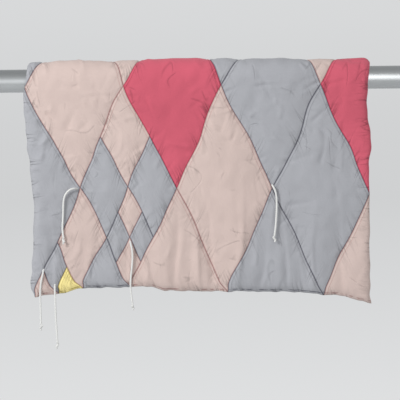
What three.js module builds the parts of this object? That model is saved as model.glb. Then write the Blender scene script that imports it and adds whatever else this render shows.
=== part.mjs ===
// A padded patchwork quilt folded over a round rail, with five knotted cord ties sewn to its front.
// Millimetres, +Z up, the front faces -Y. The origin is the centre of the rail's left end face.
import * as THREE from 'three';

// Driving dimensions
const RAIL = { length: 1000, diameter: 50.8, chamfer: 1.5, sides: 48 };
const QUILT = { width: 750, length: 1000, front: 459 };
const PADDING = { hem: 5, seam: 12, crown: 22, seamRise: 22, hemRise: 12, outward: 0.6 };
const RAIL_GAP = 0.6;
const CORD = { diameter: 4.4, sides: 10, step: 9, gap: 0.45 };
const KNOT = { width: 8.8, depth: 8.2, height: 9.6, around: 12, rings: 8 };

// The quilt's middle layer passes over the rail in a half turn of this radius.
const turnRadius = RAIL.diameter / 2 + RAIL_GAP + (1 - PADDING.outward) * PADDING.crown;
const turnLength = Math.PI * turnRadius;
const backLength = QUILT.length - QUILT.front - turnLength;

// Patchwork: large diamonds on a lattice. Places on it are counted in half diamonds, across from the
// left edge and along from the front hem, over the rail, to the back hem.
const LATTICE = { across: 7, along: 4.5 };
const patchAcross = QUILT.width / LATTICE.across;
const patchAlong = QUILT.length / LATTICE.along;
const patchDepth = (patchAcross * patchAlong) / Math.hypot(patchAcross, patchAlong);

// Diamonds that are cut into four of half their size, in this order
const SPLITS = [
  { across: 1, along: 0, size: 1 },
  { across: 2, along: 1, size: 1 },
  { across: 0.5, along: 0, size: 0.5 },
  { across: 2, along: 0.5, size: 0.5 },
];

// How far the front hem hangs below its even line
const HEM_DROP = [
  { x: 125, drop: 15 },
  { x: 191, drop: 8 },
  { x: 245, drop: -3 },
  { x: 385, drop: -5 },
  { x: 425, drop: 5 },
  { x: 560, drop: 8 },
  { x: 681, drop: 10 },
  { x: 793, drop: 19 },
  { x: 875, drop: 37 },
];

// The drawn-in side edges, along the quilt from the front hem to the back hem
const SIDES = [
  { along: 0, left: 137, right: 873 },
  { along: 20, left: 128, right: 870 },
  { along: 60, left: 131, right: 871 },
  { along: 104, left: 135, right: 870 },
  { along: 190, left: 137, right: 872 },
  { along: 277, left: 130, right: 871 },
  { along: 321, left: 124, right: 877 },
  { along: 407, left: 117, right: 869 },
  { along: 511, left: 127, right: 878 },
  { along: 600, left: 122, right: 872 },
  { along: 720, left: 131, right: 876 },
  { along: 850, left: 136, right: 869 },
  { along: 1000, left: 137, right: 874 },
];

// Soft upright folds, widest at the hem: lift is how far one stands out there, reach how far up it runs
const FRONT_FOLDS = [
  { x: 150, halfWidth: 45, lift: 7, reach: 420 },
  { x: 262, halfWidth: 40, lift: -3, reach: 300 },
  { x: 400, halfWidth: 60, lift: 4, reach: 350 },
  { x: 500, halfWidth: 35, lift: -3, reach: 300 },
  { x: 575, halfWidth: 34, lift: 8, reach: 330 },
  { x: 678, halfWidth: 24, lift: 5, reach: 240 },
  { x: 752, halfWidth: 32, lift: 8, reach: 380 },
  { x: 860, halfWidth: 40, lift: 9, reach: 420 },
];
const BACK_FOLDS = [
  { x: 170, halfWidth: 50, lift: 6, reach: 380 },
  { x: 320, halfWidth: 42, lift: -3, reach: 300 },
  { x: 455, halfWidth: 48, lift: 7, reach: 340 },
  { x: 640, halfWidth: 55, lift: 5, reach: 360 },
  { x: 840, halfWidth: 45, lift: 7, reach: 400 },
];

// Mesh of the quilt: columns to a half diamond, and extra rows where it turns over the rail
const MESH = { columns: 4, turnRows: 3 };

// Routes of the ties, chosen by hand: out of a seam, over the padding and down
const TIES = [
  [
    [229, -45.7, -237.6], [227, -48.5, -237.6], [224.2, -50.5, -237.7], [221.4, -51.3, -238.3],
    [218.3, -51.5, -239.4], [215.2, -51.5, -241.3], [212.3, -51.4, -243.8], [209, -51.4, -247.6],
    [206.3, -51.2, -252.2], [204.3, -50.9, -257.8], [203, -50.5, -264.2], [202.3, -50, -272],
    [201.9, -49.4, -281], [201.5, -48.7, -291], [201, -48.1, -301], [200.2, -47.6, -311],
    [199.7, -47.3, -320], [199.8, -47.8, -329], [200.6, -49.1, -337.5], [202, -50.8, -345.5],
  ],
  [
    [659, -44, -236.5], [659.8, -46, -238.1], [661, -47.5, -240.5], [662.3, -48.2, -242.9],
    [663.9, -48.4, -246.8], [665.4, -48.5, -252.5], [666.6, -48.6, -260], [667, -48.7, -269],
    [667, -49.1, -279], [666.7, -49.7, -289.5], [666.1, -50.3, -300], [665.3, -50.9, -311],
    [664.4, -51.5, -321], [663.3, -52.4, -330.5], [662.1, -53.5, -339], [660.8, -54.7, -346.5],
  ],
  [
    [347, -44.9, -356.2], [347.4, -47.7, -358.1], [348, -49.6, -360.9], [348.7, -50.4, -363.6],
    [349.7, -50.6, -368], [350.7, -50.5, -374.5], [351.2, -50.3, -382.5], [351.2, -49.9, -391.5],
    [350.6, -49.3, -401.5], [349.6, -48.2, -411.5], [348.4, -47.2, -421.5], [347.3, -46.2, -431.5],
    [346.5, -45.3, -441.5], [346.3, -44.5, -452], [346.8, -44, -462], [347.9, -43.7, -472],
    [349.1, -43.5, -482], [350.2, -43.4, -491],
  ],
  [
    [157.1, -49, -415.3], [156.8, -51, -417], [156.4, -52.6, -419.7], [155.9, -53.3, -422.3],
    [154.7, -53.4, -427.6], [153, -53.2, -434.6], [151.5, -52.6, -443.3], [150.5, -51.7, -453],
    [149.9, -50.8, -463], [149.6, -49.9, -473.5], [149.7, -49.2, -484], [149.9, -48.7, -494.5],
    [150.1, -48.3, -505], [150.3, -48, -515.5], [150.4, -47.8, -524], [150.5, -47.7, -532.5],
  ],
  [
    [181.6, -46.2, -448], [181.5, -48.2, -449.8], [181.4, -49.8, -452.4], [181.4, -50.5, -455.1],
    [181.5, -50.7, -460], [181.8, -50.7, -467], [182.1, -50.6, -475.5], [182.2, -50.2, -485],
    [182.3, -49.8, -495], [182.5, -49.4, -505], [182.8, -49, -515.5], [183.3, -48.8, -526],
    [183.9, -48.6, -536.5], [184.5, -48.4, -547], [185, -48.3, -557], [185.4, -48.2, -565.5],
    [185.7, -48.1, -573],
  ],
];

const MATERIALS = {
  cotton: { color: 0xb3b3b7, roughness: 0.9, metalness: 0 },
  metal: { color: 0xb4b8b9, roughness: 0.35, metalness: 1 },
  cord: { color: 0xe3e2de, roughness: 0.85, metalness: 0 },
};

const part = new THREE.Group();

function addPiece(name, geometry, finish) {
  const mesh = new THREE.Mesh(geometry, new THREE.MeshStandardMaterial(MATERIALS[finish]));
  mesh.name = name;
  part.add(mesh);
  return mesh;
}

// Value of one column of a table at a place of another, eased between the rows
function readTable(rows, key, place, column) {
  if (place <= rows[0][key]) return rows[0][column];
  for (let i = 1; i < rows.length; i += 1) {
    const low = rows[i - 1];
    const high = rows[i];
    if (place <= high[key]) {
      const ease = THREE.MathUtils.smoothstep(place, low[key], high[key]);
      return THREE.MathUtils.lerp(low[column], high[column], ease);
    }
  }
  return rows[rows.length - 1][column];
}

// Every diamond of the patchwork: the whole lattice, then the splits
function cutPatches() {
  let patches = [];
  for (let along = 0; along <= Math.ceil(LATTICE.along); along += 1) {
    for (let across = (along + 1) % 2; across <= LATTICE.across; across += 2) {
      patches.push({ across, along, size: 1 });
    }
  }
  for (const split of SPLITS) {
    const half = split.size / 2;
    const same = (p) => p.across === split.across && p.along === split.along && p.size === split.size;
    patches = patches.filter((p) => !same(p));
    patches.push(
      { across: split.across - half, along: split.along, size: half },
      { across: split.across + half, along: split.along, size: half },
      { across: split.across, along: split.along - half, size: half },
      { across: split.across, along: split.along + half, size: half },
    );
  }
  return patches;
}

const patches = cutPatches();

// Distance to the nearest seam: the height of the diamond that holds the place, zero on its outline
function seamDistance(across, along) {
  let best = 0;
  for (const patch of patches) {
    const aside = Math.abs(across - patch.across) + Math.abs(along - patch.along);
    best = Math.max(best, (patch.size - aside) * patchDepth);
  }
  return best;
}

// Padding at a place: thin at the seams and hem, full in the middle of a patch
function thickness(across, along) {
  const fromSide = Math.min(across, LATTICE.across - across) * patchAcross;
  const fromEnd = Math.min(along, LATTICE.along - along) * patchAlong;
  const fromHem = Math.max(0, Math.min(fromSide, fromEnd));
  const puff = 1 - Math.exp(-seamDistance(across, along) / PADDING.seamRise);
  const patch = PADDING.seam + (PADDING.crown - PADDING.seam) * puff;
  return PADDING.hem + (patch - PADDING.hem) * (1 - Math.exp(-fromHem / PADDING.hemRise));
}

// Outward lift of the hanging panel, from its folds
function foldLift(folds, x, fromHem) {
  let lift = 0;
  for (const fold of folds) {
    const aside = (x - fold.x) / fold.halfWidth;
    const grow = Math.max(0, 1 - fromHem / fold.reach);
    lift += fold.lift * Math.exp(-aside * aside) * grow * Math.sqrt(grow);
  }
  return lift;
}

// Place on the middle layer and the way out of the cloth there
function middleLayer(across, along) {
  const run = along * patchAlong;
  const left = readTable(SIDES, 'along', run, 'left');
  const right = readTable(SIDES, 'along', run, 'right');
  const x = THREE.MathUtils.lerp(left, right, across / LATTICE.across);
  if (run < QUILT.front) {
    const hang = QUILT.front + readTable(HEM_DROP, 'x', x, 'drop');
    const y = -turnRadius - foldLift(FRONT_FOLDS, x, run);
    return { place: [x, y, -hang * (1 - run / QUILT.front)], out: [-1, 0] };
  }
  if (run > QUILT.front + turnLength) {
    const down = run - QUILT.front - turnLength;
    const y = turnRadius + foldLift(BACK_FOLDS, x, backLength - down);
    return { place: [x, y, -down], out: [1, 0] };
  }
  const turn = (run - QUILT.front) / turnRadius;
  const out = [-Math.cos(turn), Math.sin(turn)];
  return { place: [x, turnRadius * out[0], turnRadius * out[1]], out };
}

// Point on the outer or the under face
function facePoint(across, along, outer) {
  const { place, out } = middleLayer(across, along);
  const share = outer ? PADDING.outward : PADDING.outward - 1;
  const offset = share * thickness(across, along);
  return [place[0], place[1] + offset * out[0], place[2] + offset * out[1]];
}

// Rows of mesh places. Places stand a half column aside on every other row, so that seams run along
// edges, and the extra rows over the rail hold a place on each of the crossing seam lines.
function meshRows() {
  const columns = LATTICE.across * MESH.columns;
  const rowStep = 1 / (2 * MESH.columns);
  const lastRow = LATTICE.along / rowStep;
  const rows = [];
  for (let row = 0; row <= lastRow; row += 1) {
    const nearTurn = (row + 1) * rowStep * patchAlong > QUILT.front
      && row * rowStep * patchAlong < QUILT.front + turnLength;
    const parts = nearTurn && row < lastRow ? MESH.turnRows : 1;
    for (let part = 0; part < parts; part += 1) {
      const ahead = part / parts;
      const start = row % 2 === 0 ? ahead / 2 : 0.5 - ahead / 2;
      const places = [0];
      for (let column = 0; column < columns; column += 1) {
        if (column + start > 0) places.push(column + start);
        if (start > 0 && start < 0.5) places.push(column + 1 - start);
      }
      places.push(columns);
      rows.push({ along: (row + ahead) * rowStep, across: places.map((p) => p / MESH.columns) });
    }
  }
  return rows;
}

// Triangles between two rows of places, always stepping along the row that lags behind
function zipRows(low, high, lowStart, highStart, triangles) {
  let i = 0;
  let j = 0;
  while (i < low.length - 1 || j < high.length - 1) {
    const stepLow = j === high.length - 1 || (i < low.length - 1 && low[i + 1] <= high[j + 1]);
    if (stepLow) {
      triangles.push([lowStart + i, lowStart + i + 1, highStart + j]);
      i += 1;
    } else {
      triangles.push([lowStart + i, highStart + j + 1, highStart + j]);
      j += 1;
    }
  }
}

// The quilt: an outer and an under face over the same rows, joined round the hem
function quiltGeometry() {
  const rows = meshRows();
  const starts = [];
  const positions = [];
  let count = 0;
  for (const row of rows) {
    starts.push(count);
    count += row.across.length;
  }
  for (const outer of [true, false]) {
    for (const row of rows) {
      for (const across of row.across) positions.push(...facePoint(across, row.along, outer));
    }
  }
  const outerFaces = [];
  for (let row = 1; row < rows.length; row += 1) {
    zipRows(rows[row - 1].across, rows[row].across, starts[row - 1], starts[row], outerFaces);
  }
  const firstRow = rows[0].across.map((_, i) => i);
  const lastRow = rows[rows.length - 1].across.map((_, i) => starts[rows.length - 1] + i);
  const leftSide = rows.map((_, i) => starts[i]);
  const rightSide = rows.map((row, i) => starts[i] + row.across.length - 1);
  const rim = [firstRow, rightSide, lastRow.reverse(), leftSide.reverse()];
  const triangles = [...outerFaces];
  for (const [a, b, c] of outerFaces) triangles.push([a + count, c + count, b + count]);
  for (const side of rim) {
    for (let i = 1; i < side.length; i += 1) {
      const from = side[i - 1];
      const to = side[i];
      triangles.push([to, from, from + count], [to, from + count, to + count]);
    }
  }
  const geometry = new THREE.BufferGeometry();
  geometry.setAttribute('position', new THREE.Float32BufferAttribute(positions, 3));
  geometry.setIndex(triangles.flat());
  geometry.computeVertexNormals();
  return geometry;
}

// The rail: a round bar along X with small chamfers at its flat ends
function railGeometry() {
  const radius = RAIL.diameter / 2;
  const profile = [
    new THREE.Vector2(0, 0),
    new THREE.Vector2(radius - RAIL.chamfer, 0),
    new THREE.Vector2(radius, RAIL.chamfer),
    new THREE.Vector2(radius, RAIL.length - RAIL.chamfer),
    new THREE.Vector2(radius - RAIL.chamfer, RAIL.length),
    new THREE.Vector2(0, RAIL.length),
  ];
  return new THREE.LatheGeometry(profile, RAIL.sides).rotateZ(-Math.PI / 2);
}

// A tie: a round cord along its route
function tieGeometry(route) {
  const curve = new THREE.CatmullRomCurve3(route.map((point) => new THREE.Vector3(...point)));
  const section = new THREE.Shape();
  section.absarc(0, 0, CORD.diameter / 2, 0, 2 * Math.PI);
  return new THREE.ExtrudeGeometry(section, {
    steps: Math.round(curve.getLength() / CORD.step),
    curveSegments: CORD.sides,
    extrudePath: curve,
  });
}

// A knot: a rounded lump under the end of its tie
function knotGeometry(route) {
  const end = route[route.length - 1];
  const lump = new THREE.SphereGeometry(0.5, KNOT.around, KNOT.rings);
  lump.rotateX(Math.PI / 2);
  lump.scale(KNOT.width, KNOT.depth, KNOT.height);
  return lump.translate(end[0], end[1], end[2] - CORD.gap - KNOT.height / 2);
}

addPiece('quilt', quiltGeometry(), 'cotton');
addPiece('rail', railGeometry(), 'metal');
TIES.forEach((route, index) => {
  addPiece(`tie_${index + 1}`, tieGeometry(route), 'cord');
  addPiece(`knot_${index + 1}`, knotGeometry(route), 'cord');
});

export default part;
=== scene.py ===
"""Looks of a padded patchwork quilt folded over a round rail, with five knotted cord ties."""
import math

import bpy
import numpy as np
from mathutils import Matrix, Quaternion, Vector


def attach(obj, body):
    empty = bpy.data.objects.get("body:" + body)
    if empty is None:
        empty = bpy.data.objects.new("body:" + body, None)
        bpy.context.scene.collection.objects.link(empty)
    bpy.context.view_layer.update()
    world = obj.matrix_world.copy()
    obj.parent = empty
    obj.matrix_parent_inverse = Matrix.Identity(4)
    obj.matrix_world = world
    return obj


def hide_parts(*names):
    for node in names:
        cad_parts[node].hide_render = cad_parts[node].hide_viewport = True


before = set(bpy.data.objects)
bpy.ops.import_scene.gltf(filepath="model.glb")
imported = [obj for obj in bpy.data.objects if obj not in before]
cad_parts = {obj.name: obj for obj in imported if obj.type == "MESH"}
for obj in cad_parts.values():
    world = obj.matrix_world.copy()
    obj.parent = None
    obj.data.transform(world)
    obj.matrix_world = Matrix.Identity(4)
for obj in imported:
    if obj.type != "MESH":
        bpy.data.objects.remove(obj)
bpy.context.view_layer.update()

MM = 0.001


def table(columns, *rows):
    """Rows of a table, each one a dictionary from the names of the columns to its own values."""
    return [dict(zip(columns, row)) for row in rows]


# Sizes in millimetres, as the solids have them
RAIL = {"length": 1000.0, "diameter": 50.8, "chamfer": 1.5, "gap": 0.6}
QUILT = {"width": 750.0, "length": 1000.0, "front": 459.0}
PADDING = {"hem": 5.0, "seam": 12.0, "crown": 22.0, "seam_rise": 22.0, "hem_rise": 12.0, "outward": 0.6}
CORD = {"diameter": 4.4, "lay": 13.0, "step": 1.1, "fade": 0.0}
KNOT_CORD = {"diameter": CORD["diameter"] * 0.92, "lay": 11.0, "step": 0.6, "fade": 1.2}
STRANDS = {"count": 3, "relief": 0.13, "sides": 24}
LATTICE = {"across": 7.0, "along": 4.5}

TURN_RADIUS = RAIL["diameter"] / 2 + RAIL["gap"] + (1 - PADDING["outward"]) * PADDING["crown"]
TURN_LENGTH = math.pi * TURN_RADIUS
BACK_LENGTH = QUILT["length"] - QUILT["front"] - TURN_LENGTH
PATCH_ACROSS = QUILT["width"] / LATTICE["across"]
PATCH_ALONG = QUILT["length"] / LATTICE["along"]
PATCH_SIDE = math.hypot(PATCH_ACROSS, PATCH_ALONG)
PATCH_DEPTH = PATCH_ACROSS * PATCH_ALONG / PATCH_SIDE

# Cloth of the large diamonds, one row of the lattice after another from the front hem, left to right:
# g grey, b blush, r raspberry, y yellow, and a dash where a diamond is cut smaller
CLOTH_ROWS = ["-bgb", "g-bg", "brgr", "gbgb", "gbrg", "bgbg"]
SMALL_PATCHES = table(
    ("across", "along", "size", "cloth"),
    (1.0, 0.5, 0.5, "b"), (1.5, 0.0, 0.5, "g"), (0.25, 0.0, 0.25, "b"), (0.75, 0.0, 0.25, "y"),
    (0.5, 0.25, 0.25, "g"), (1.5, 1.0, 0.5, "g"), (2.5, 1.0, 0.5, "g"), (2.0, 1.5, 0.5, "b"),
    (2.0, 0.75, 0.25, "b"), (1.75, 0.5, 0.25, "g"), (2.25, 0.5, 0.25, "g"), (2.0, 0.25, 0.25, "b"),
)

# Drop of the front hem below its mean, at places along the rail
HEM_DROP = table(
    ("x", "drop"),
    (125, 15), (191, 8), (245, -3), (385, -5), (425, 5), (560, 8), (681, 10), (793, 19), (875, 37),
)
# Side edges of the cloth at lengths of run from the front hem
SIDES = table(
    ("along", "left", "right"),
    (0, 137, 873), (20, 128, 870), (60, 131, 871), (104, 135, 870), (190, 137, 872),
    (277, 130, 871), (321, 124, 877), (407, 117, 869), (511, 127, 878), (600, 122, 872),
    (720, 131, 876), (850, 136, 869), (1000, 137, 874),
)
# Broad folds of the two panels, lifted outwards and fading over their reach above the hem
FRONT_FOLDS = table(
    ("x", "half_width", "lift", "reach"),
    (150, 45, 7, 420), (262, 40, -3, 300), (400, 60, 4, 350), (500, 35, -3, 300), (575, 34, 8, 330),
    (678, 24, 5, 240), (752, 32, 8, 380), (860, 40, 9, 420),
)
BACK_FOLDS = table(
    ("x", "half_width", "lift", "reach"),
    (170, 50, 6, 380), (320, 42, -3, 300), (455, 48, 7, 340), (640, 55, 5, 360), (840, 45, 7, 400),
)

# Routes of the ties, as the solids have them
TIES = [
    [
        (229, -45.7, -237.6), (227, -48.5, -237.6), (224.2, -50.5, -237.7), (221.4, -51.3, -238.3),
        (218.3, -51.5, -239.4), (215.2, -51.5, -241.3), (212.3, -51.4, -243.8), (209, -51.4, -247.6),
        (206.3, -51.2, -252.2), (204.3, -50.9, -257.8), (203, -50.5, -264.2), (202.3, -50, -272),
        (201.9, -49.4, -281), (201.5, -48.7, -291), (201, -48.1, -301), (200.2, -47.6, -311),
        (199.7, -47.3, -320), (199.8, -47.8, -329), (200.6, -49.1, -337.5), (202, -50.8, -345.5),
    ],
    [
        (659, -44, -236.5), (659.8, -46, -238.1), (661, -47.5, -240.5), (662.3, -48.2, -242.9),
        (663.9, -48.4, -246.8), (665.4, -48.5, -252.5), (666.6, -48.6, -260), (667, -48.7, -269),
        (667, -49.1, -279), (666.7, -49.7, -289.5), (666.1, -50.3, -300), (665.3, -50.9, -311),
        (664.4, -51.5, -321), (663.3, -52.4, -330.5), (662.1, -53.5, -339), (660.8, -54.7, -346.5),
    ],
    [
        (347, -44.9, -356.2), (347.4, -47.7, -358.1), (348, -49.6, -360.9), (348.7, -50.4, -363.6),
        (349.7, -50.6, -368), (350.7, -50.5, -374.5), (351.2, -50.3, -382.5), (351.2, -49.9, -391.5),
        (350.6, -49.3, -401.5), (349.6, -48.2, -411.5), (348.4, -47.2, -421.5), (347.3, -46.2, -431.5),
        (346.5, -45.3, -441.5), (346.3, -44.5, -452), (346.8, -44, -462), (347.9, -43.7, -472),
        (349.1, -43.5, -482), (350.2, -43.4, -491),
    ],
    [
        (157.1, -49, -415.3), (156.8, -51, -417), (156.4, -52.6, -419.7), (155.9, -53.3, -422.3),
        (154.7, -53.4, -427.6), (153, -53.2, -434.6), (151.5, -52.6, -443.3), (150.5, -51.7, -453),
        (149.9, -50.8, -463), (149.6, -49.9, -473.5), (149.7, -49.2, -484), (149.9, -48.7, -494.5),
        (150.1, -48.3, -505), (150.3, -48, -515.5), (150.4, -47.8, -524), (150.5, -47.7, -532.5),
    ],
    [
        (181.6, -46.2, -448), (181.5, -48.2, -449.8), (181.4, -49.8, -452.4), (181.4, -50.5, -455.1),
        (181.5, -50.7, -460), (181.8, -50.7, -467), (182.1, -50.6, -475.5), (182.2, -50.2, -485),
        (182.3, -49.8, -495), (182.5, -49.4, -505), (182.8, -49, -515.5), (183.3, -48.8, -526),
        (183.9, -48.6, -536.5), (184.5, -48.4, -547), (185, -48.3, -557), (185.4, -48.2, -565.5),
        (185.7, -48.1, -573),
    ],
]

# The camera faces the front panel from straight ahead; one pixel of the 400 is 2.195 mm there
VIEW = {"target": (0.4999, -0.047, -0.2657), "distance": 5.0, "elevation": 0.0, "azimuth": -1.5,
        "roll": 0.70, "frame_width": 0.872, "sensor": 36.0}


def make_camera():
    """Camera on a line from the target, turned about that line by the roll."""
    target = Vector(VIEW["target"])
    side = math.radians(VIEW["azimuth"])
    rise = math.radians(VIEW["elevation"])
    away = Vector((math.sin(side) * math.cos(rise), -math.cos(side) * math.cos(rise), math.sin(rise)))
    data = bpy.data.cameras.new("camera")
    data.sensor_width = VIEW["sensor"]
    data.lens = VIEW["sensor"] * VIEW["distance"] / VIEW["frame_width"]
    camera = bpy.data.objects.new("camera", data)
    camera.location = target + VIEW["distance"] * away
    look = (-away).to_track_quat("-Z", "Y")
    camera.rotation_mode = "QUATERNION"
    camera.rotation_quaternion = look @ Quaternion((0, 0, 1), math.radians(-VIEW["roll"]))
    bpy.context.scene.collection.objects.link(camera)
    bpy.context.scene.camera = camera


def mesh_object(name, points, faces, smooth=True):
    """Object at the origin from an array of points in metres and a list or array of faces."""
    mesh = bpy.data.meshes.new(name)
    mesh.from_pydata(np.asarray(points).tolist(), [], [list(map(int, face)) for face in faces])
    mesh.validate()
    mesh.polygons.foreach_set("use_smooth", np.full(len(mesh.polygons), smooth))
    mesh.update()
    piece = bpy.data.objects.new(name, mesh)
    bpy.context.scene.collection.objects.link(piece)
    return piece


def grid_faces(rows, columns):
    """Quads of a grid of rows by columns, its columns joined into a ring."""
    row = np.arange(rows - 1)[:, None]
    column = np.arange(columns)[None, :]
    ahead = (column + 1) % columns
    below, above = row * columns, (row + 1) * columns
    return np.stack([below + column, below + ahead, above + ahead, above + column], axis=-1).reshape(-1, 4)


def closed_tube(name, rings, ends):
    """Tube through rings of points in millimetres, each end closed by a fan to its end point."""
    rows, columns = rings.shape[:2]
    column = np.arange(columns)
    ahead = (column + 1) % columns
    start = np.full(columns, rows * columns)
    last = (rows - 1) * columns
    faces = grid_faces(rows, columns).tolist()
    faces += np.stack([start, ahead, column], axis=1).tolist()
    faces += np.stack([start + 1, last + column, last + ahead], axis=1).tolist()
    return mesh_object(name, np.vstack([rings.reshape(-1, 3), ends]) * MM, faces)


def smooth_path(points, step, samples=24):
    """Points a step apart along a centripetal spline through the given points, and its length."""
    knots = np.asarray(points, dtype=float)
    ends = np.vstack([2 * knots[0] - knots[1], knots, 2 * knots[-1] - knots[-2]])
    pieces = []
    for a, b, c, d in zip(ends[:-3], ends[1:-2], ends[2:-1], ends[3:]):
        t1 = np.linalg.norm(b - a) ** 0.5
        t2 = t1 + np.linalg.norm(c - b) ** 0.5
        t3 = t2 + np.linalg.norm(d - c) ** 0.5
        t = np.linspace(t1, t2, samples, endpoint=False)[:, None]
        a1 = (t1 - t) / t1 * a + t / t1 * b
        a2 = (t2 - t) / (t2 - t1) * b + (t - t1) / (t2 - t1) * c
        a3 = (t3 - t) / (t3 - t2) * c + (t - t2) / (t3 - t2) * d
        b1 = (t2 - t) / t2 * a1 + t / t2 * a2
        b2 = (t3 - t) / (t3 - t1) * a2 + (t - t1) / (t3 - t1) * a3
        pieces.append((t2 - t) / (t2 - t1) * b1 + (t - t1) / (t2 - t1) * b2)
    line = np.vstack(pieces + [knots[-1:]])
    run = np.concatenate([[0.0], np.cumsum(np.linalg.norm(np.diff(line, axis=0), axis=1))])
    count = max(2, int(round(run[-1] / step)) + 1)
    places = np.linspace(0.0, run[-1], count)
    return np.stack([np.interp(places, run, line[:, axis]) for axis in range(3)], axis=1), run[-1]


def carried_frames(path):
    """Two directions across a path at each of its points, carried along it without twist."""
    ahead = np.gradient(path, axis=0)
    ahead /= np.linalg.norm(ahead, axis=1)[:, None]
    first = np.cross(ahead[0], (0.0, 0.31, 0.95) if abs(ahead[0][2]) < 0.9 else (1.0, 0.0, 0.0))
    sides = [first / np.linalg.norm(first)]
    for after in ahead[1:]:
        side = sides[-1] - np.dot(sides[-1], after) * after
        sides.append(side / np.linalg.norm(side))
    side = np.array(sides)
    return side, np.cross(ahead, side)


def rope(name, points, cord):
    """Twisted cord: a tube whose radius rises over each strand, the strands winding one turn a lay.

    Returns the object, its middle line and that line's length in millimetres. With fade the ends narrow.
    """
    path, length = smooth_path(points, cord["step"])
    side, up = carried_frames(path)
    run = np.linspace(0.0, length, len(path))[:, None]
    angle = np.linspace(0.0, 2 * math.pi, STRANDS["sides"], endpoint=False)[None, :]
    turn = 2 * math.pi * run / cord["lay"]
    lobe = np.abs(np.cos(STRANDS["count"] / 2 * (angle - turn)))
    radius = cord["diameter"] / 2 * (1 - STRANDS["relief"] + STRANDS["relief"] * lobe)
    if cord["fade"]:
        ends = np.clip(np.minimum(run, length - run) / cord["fade"], 0.0, 1.0)
        radius = radius * np.sqrt(0.25 + 0.75 * ends * (2 - ends))
    ring = np.cos(angle)[..., None] * side[:, None, :] + np.sin(angle)[..., None] * up[:, None, :]
    piece = closed_tube(name, path[:, None, :] + radius[..., None] * ring, [path[0], path[-1]])
    return piece, path, length


# The trefoil of a knot runs from minus to plus this end value, and is flattened by these shares. Its lead to
# the cord and its tail go on from its two ends: shares of the end's place, and a rise along the cord
TREFOIL = {"end": 2.03, "points": 46, "shares": (1.05, 0.55, 1.0)}
KNOT_LEAD = table(("x", "y", "rise"), (0.5, 0.5, 1.4), (0.0, 0.0, 2.8))
KNOT_TAIL = table(("x", "y", "rise"), (0.3, 0.6, -4.6), (0.6, 0.8, -2.0))


def overhand_knot(name, end, aim):
    """Overhand knot under a cord's end: a trefoil of cord pulled tight, and a short tail below it.

    The trefoil is x = t^3 - 3t, y = t^4 - 4t^2, z = t^5/5 - 2t, flattened, with z along the cord.
    """
    t = np.linspace(-TREFOIL["end"], TREFOIL["end"], TREFOIL["points"])
    loop = np.stack([t ** 3 - 3 * t, t ** 4 - 4 * t ** 2, t ** 5 / 5 - 2 * t], axis=1)
    loop[:, 1] -= loop[:, 1].mean()
    loop *= np.array(TREFOIL["shares"])
    tail, lead = ([(x * step["x"], y * step["y"], z + step["rise"]) for step in steps]
                  for (x, y, z), steps in ((loop[0], KNOT_TAIL), (loop[-1], KNOT_LEAD)))
    line = np.vstack([tail, loop, lead])
    line = line - line[-1]
    turn = math.radians(aim)
    spin = np.array([[math.cos(turn), -math.sin(turn), 0], [math.sin(turn), math.cos(turn), 0], [0, 0, 1]])
    piece, _, _ = rope(name, line @ spin.T + np.asarray(end), KNOT_CORD)
    return piece


make_camera()

# Each cord runs on into the padding by this many lengths of its route's first step
ROOT_REACH = 2.8
# Degrees that the knots are turned about their cords: one more step for each knot
KNOT_AIM = {"first": 40, "step": 70}

ties = []
TIE_PATHS = []
for number, route in enumerate(TIES, start=1):
    root = tuple(first + ROOT_REACH * (first - second) for first, second in zip(route[0], route[1]))
    tie, path, length = rope(f"tie_{number}_cord", [root] + route, CORD)
    TIE_PATHS.append(path)
    knot = overhand_knot(f"tie_{number}_knot", route[-1], KNOT_AIM["first"] + KNOT_AIM["step"] * number)
    for piece, node in ((tie, f"tie_{number}"), (knot, f"knot_{number}")):
        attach(piece, "root")
        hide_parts(node)
    ties += [tie, knot]


def read_table(rows, key, place, column):
    """Column of a table at an array of places, eased between its rows."""
    keys = np.array([row[key] for row in rows], dtype=float)
    values = np.array([row[column] for row in rows], dtype=float)
    low = np.clip(np.searchsorted(keys, place) - 1, 0, len(keys) - 2)
    t = np.clip((place - keys[low]) / (keys[low + 1] - keys[low]), 0.0, 1.0)
    return values[low] + t * t * (3 - 2 * t) * (values[low + 1] - values[low])


def cut_patches():
    """Every patch of the top, with its place, its size and its cloth."""
    large = [{"across": 2 * index + (along + 1) % 2, "along": along, "size": 1.0, "cloth": cloth}
             for along, cloths in enumerate(CLOTH_ROWS) for index, cloth in enumerate(cloths) if cloth != "-"]
    return SMALL_PATCHES + large


PATCHES = cut_patches()


def patch_place(across, along):
    """Patch number, and distances in millimetres to its two pairs of seams, at arrays of places.

    A diamond is a square in the sum and the difference of the two lattice places, so each distance is
    the square's half side less the offset from its middle.
    """
    total = across + along
    split = along - across
    number = np.zeros(across.shape, dtype=int)
    rising = np.zeros(across.shape)
    falling = np.zeros(across.shape)
    best = np.full(across.shape, -1e9)
    for index, patch in enumerate(PATCHES):
        in_total = patch["size"] - np.abs(total - patch["along"] - patch["across"])
        in_split = patch["size"] - np.abs(split - patch["along"] + patch["across"])
        depth = np.minimum(in_total, in_split)
        closer = depth > best
        number[closer] = index
        rising[closer] = in_total[closer]
        falling[closer] = in_split[closer]
        best = np.maximum(best, depth)
    return number, np.maximum(rising, 0) * PATCH_DEPTH, np.maximum(falling, 0) * PATCH_DEPTH


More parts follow.
